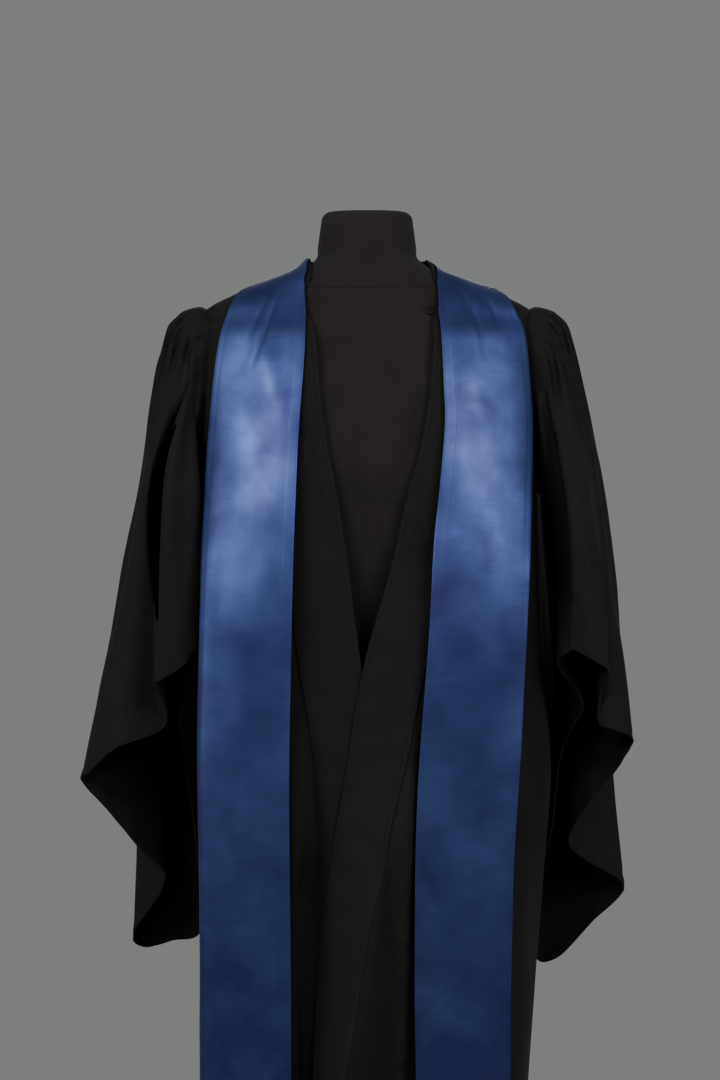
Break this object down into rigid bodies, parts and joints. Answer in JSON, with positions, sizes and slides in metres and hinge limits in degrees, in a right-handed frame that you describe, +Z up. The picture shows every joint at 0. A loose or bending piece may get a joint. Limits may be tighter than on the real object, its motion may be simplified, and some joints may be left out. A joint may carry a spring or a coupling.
{
  "type": "graduation gown with stole on a dress form",
  "caption": "Black graduation gown with bell sleeves and a plain blue satin stole, on a black limbless dress form with a round base.",
  "frame": {"origin": "centre of the stand's underside, on the floor", "axes": "+Z up the stand, -Y out of the gown's front, +X at the right of a viewer in front of it"},
  "size_m": [0.6397, 0.4522, 1.564],
  "materials": {
    "gown_cloth": "matt",
    "stole_satin": "satin",
    "form_jersey": "matt",
    "stand_metal": "satin"
  },
  "bodies": {
    "root": {"yoke": "gown_cloth", "back_panel": "gown_cloth", "front_left": "gown_cloth", "front_right": "gown_cloth", "band_left": "gown_cloth", "band_right": "gown_cloth", "sleeve_left": "gown_cloth", "sleeve_right": "gown_cloth", "neck_loop": "gown_cloth", "stole_left": "stole_satin", "stole_right": "stole_satin", "form_torso": "form_jersey", "form_nub": "stand_metal", "form_pole": "stand_metal", "form_base": "stand_metal"}
  },
  "joints": []
}
